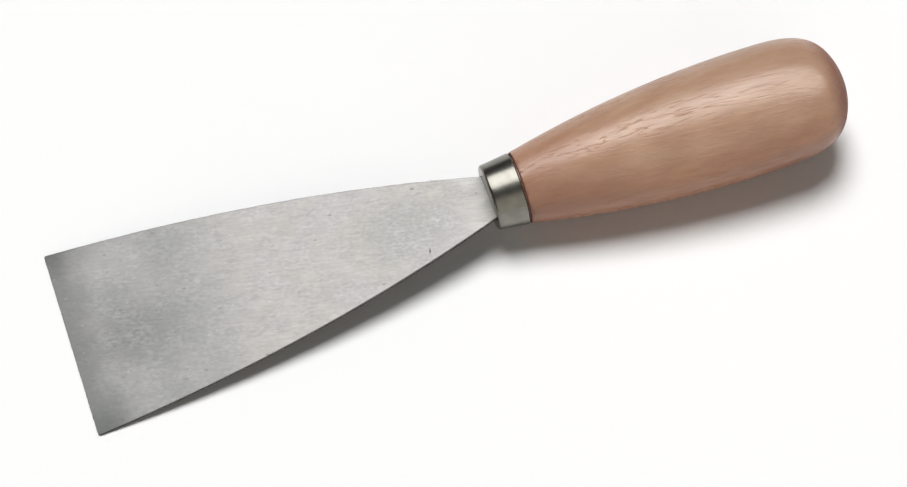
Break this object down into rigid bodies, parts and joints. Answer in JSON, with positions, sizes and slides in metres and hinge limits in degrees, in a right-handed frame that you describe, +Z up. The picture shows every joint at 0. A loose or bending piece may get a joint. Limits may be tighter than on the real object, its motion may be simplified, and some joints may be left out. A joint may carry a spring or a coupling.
{
  "type": "flexible putty knife",
  "caption": "Flexible putty knife with a flared, taper ground steel blade, a plated ferrule and a turned beech handle, lying as on a table.",
  "frame": {"origin": "on the table, under the middle of the knife's box", "axes": "+X along the knife from the blade's working edge to the butt, +Y across the blade, +Z up from the table"},
  "size_m": [0.1992, 0.05, 0.0319],
  "materials": {
    "blade_steel": "satin ground spring steel",
    "ferrule_plate": "nickel plated drawn steel, lightly scuffed",
    "handle_wood": "beech with a clear satin lacquer",
    "cement": "cured resin"
  },
  "bodies": {
    "root": {"blade": "blade_steel", "ferrule": "ferrule_plate", "handle": "handle_wood", "tang_cement": "cement"}
  },
  "joints": []
}
